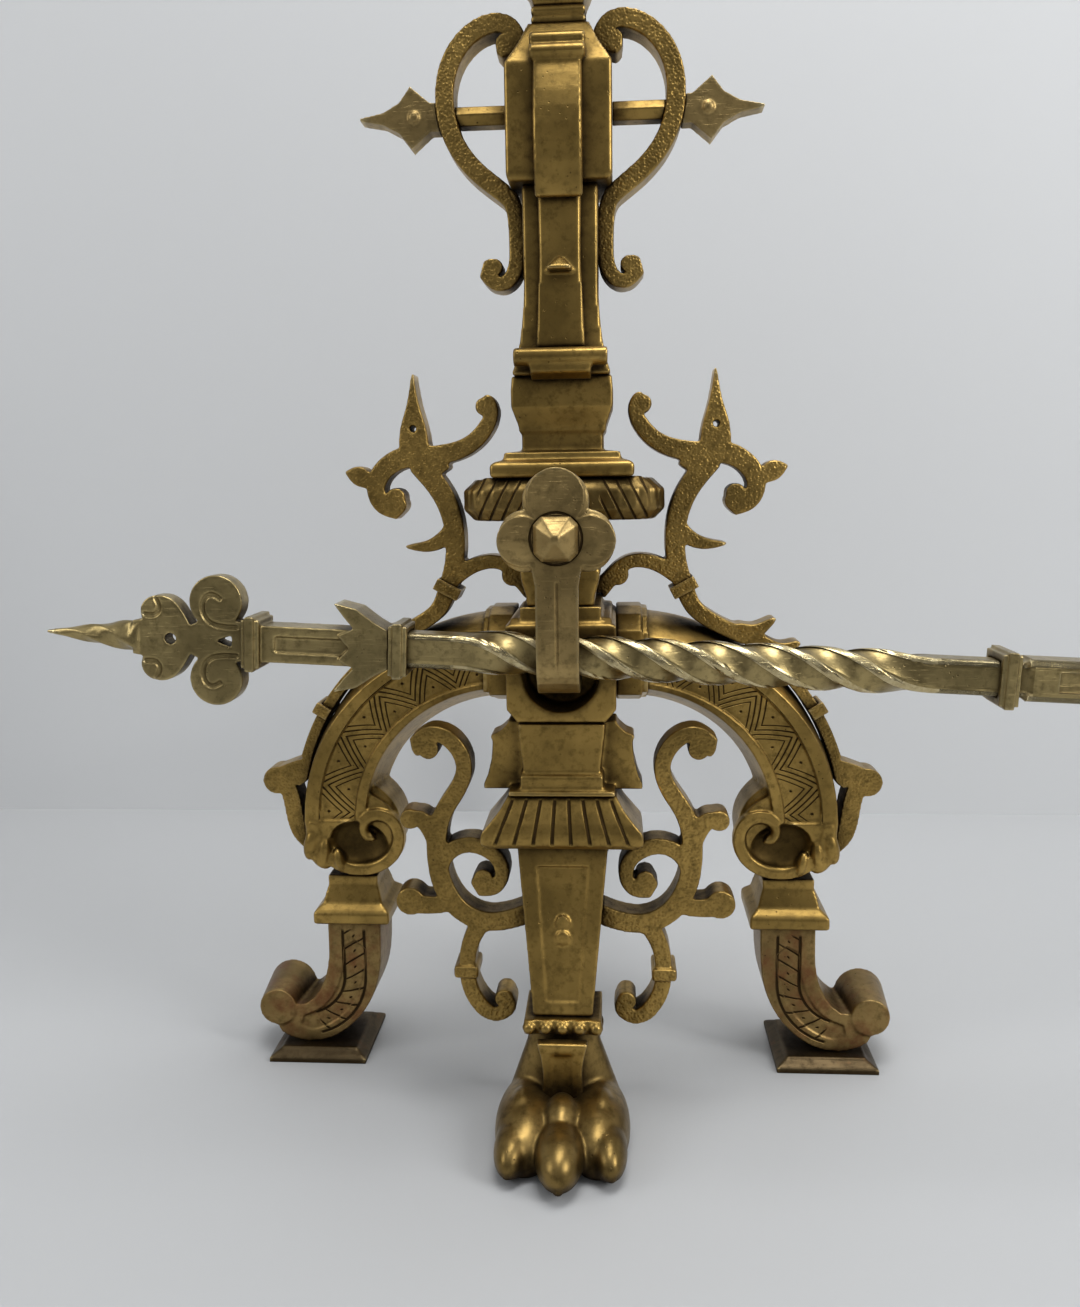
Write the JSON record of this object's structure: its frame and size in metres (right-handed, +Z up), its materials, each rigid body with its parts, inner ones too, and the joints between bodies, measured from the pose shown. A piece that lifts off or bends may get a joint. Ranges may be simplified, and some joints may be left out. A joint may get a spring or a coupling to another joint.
{
  "type": "andiron",
  "caption": "Brass andiron: moulded column on a lion-paw leg and arched side legs, cast scroll ornament, twisted crossbar in a hook, iron billet bar behind",
  "frame": {"origin": "Centre of the flat sole of the front lion paw, on the floor", "axes": "+X to the viewer's right along the crossbar, -Y out of the front face with the hook, +Z up along the column"},
  "size_m": [0.9999, 0.47, 0.6074],
  "materials": {
    "aged_brass": "cast brass, worn bright on edges, dull brown in hollows",
    "polished_brass": "brass worn bright, with fine pits and scratches",
    "dark_brass": "cast brass darkened to a reddish brown near the floor",
    "black_iron": "matt black iron with soot"
  },
  "bodies": {
    "andiron": {"arch_leg_right": "aged_brass", "arch_leg_left": "aged_brass", "arch_collar_right": "aged_brass", "arch_collar_left": "aged_brass", "knee_cap_right": "aged_brass", "knee_cap_left": "aged_brass", "side_foot_right": "dark_brass", "side_foot_left": "dark_brass", "foot_pad_right": "dark_brass", "foot_pad_left": "dark_brass", "arch_leaf_right": "aged_brass", "arch_leaf_left": "aged_brass", "arch_clip_right": "aged_brass", "arch_clip_left": "aged_brass", "leg_scroll_right": "aged_brass", "leg_scroll_left": "aged_brass", "ring_scroll_right": "aged_brass", "ring_scroll_left": "aged_brass", "cross_rod_right": "aged_brass", "cross_rod_left": "aged_brass", "arrowhead_right": "aged_brass", "arrowhead_left": "aged_brass", "wing_scroll_right": "aged_brass", "wing_scroll_left": "aged_brass", "wing_clip_right": "aged_brass", "wing_clip_left": "aged_brass", "front_block": "aged_brass", "leg_console": "aged_brass", "fluted_skirt": "aged_brass", "leg_pilaster": "aged_brass", "bead_strip": "aged_brass", "paw_bracket": "aged_brass", "lion_paw": "aged_brass", "column_neck": "aged_brass", "gadrooned_cushion": "aged_brass", "column_base": "aged_brass", "column_shaft": "aged_brass", "shaft_strap": "aged_brass", "roll_bracket": "aged_brass", "head_block": "aged_brass", "head_band": "aged_brass", "head_collar": "aged_brass", "capital": "aged_brass", "finial": "aged_brass", "hook_spacer": "aged_brass", "hook_bolt": "polished_brass", "billet_bar": "black_iron", "rear_foot": "black_iron", "billet_bolt": "black_iron"},
    "crossbar": {"crossbar": "polished_brass", "bar_collar_1": "polished_brass", "bar_collar_2": "polished_brass", "bar_collar_3": "polished_brass", "bar_collar_4": "polished_brass", "ferrule_left": "polished_brass", "ferrule_right": "polished_brass", "spearhead_left": "polished_brass", "spearhead_right": "polished_brass"},
    "hook": {"hook": "polished_brass"}
  },
  "joints": [
    {"name": "bar_slide", "type": "slide", "parent": "andiron", "child": "crossbar", "axis": [0.9986, 0, -0.0523], "range_m": [-0.155, 0.038]},
    {"name": "hook_swing", "type": "hinge", "parent": "andiron", "child": "hook", "pos_m": [0, 0.0135, 0.2687], "axis": [0, 1, 0], "range_deg": [-3, 3]}
  ]
}
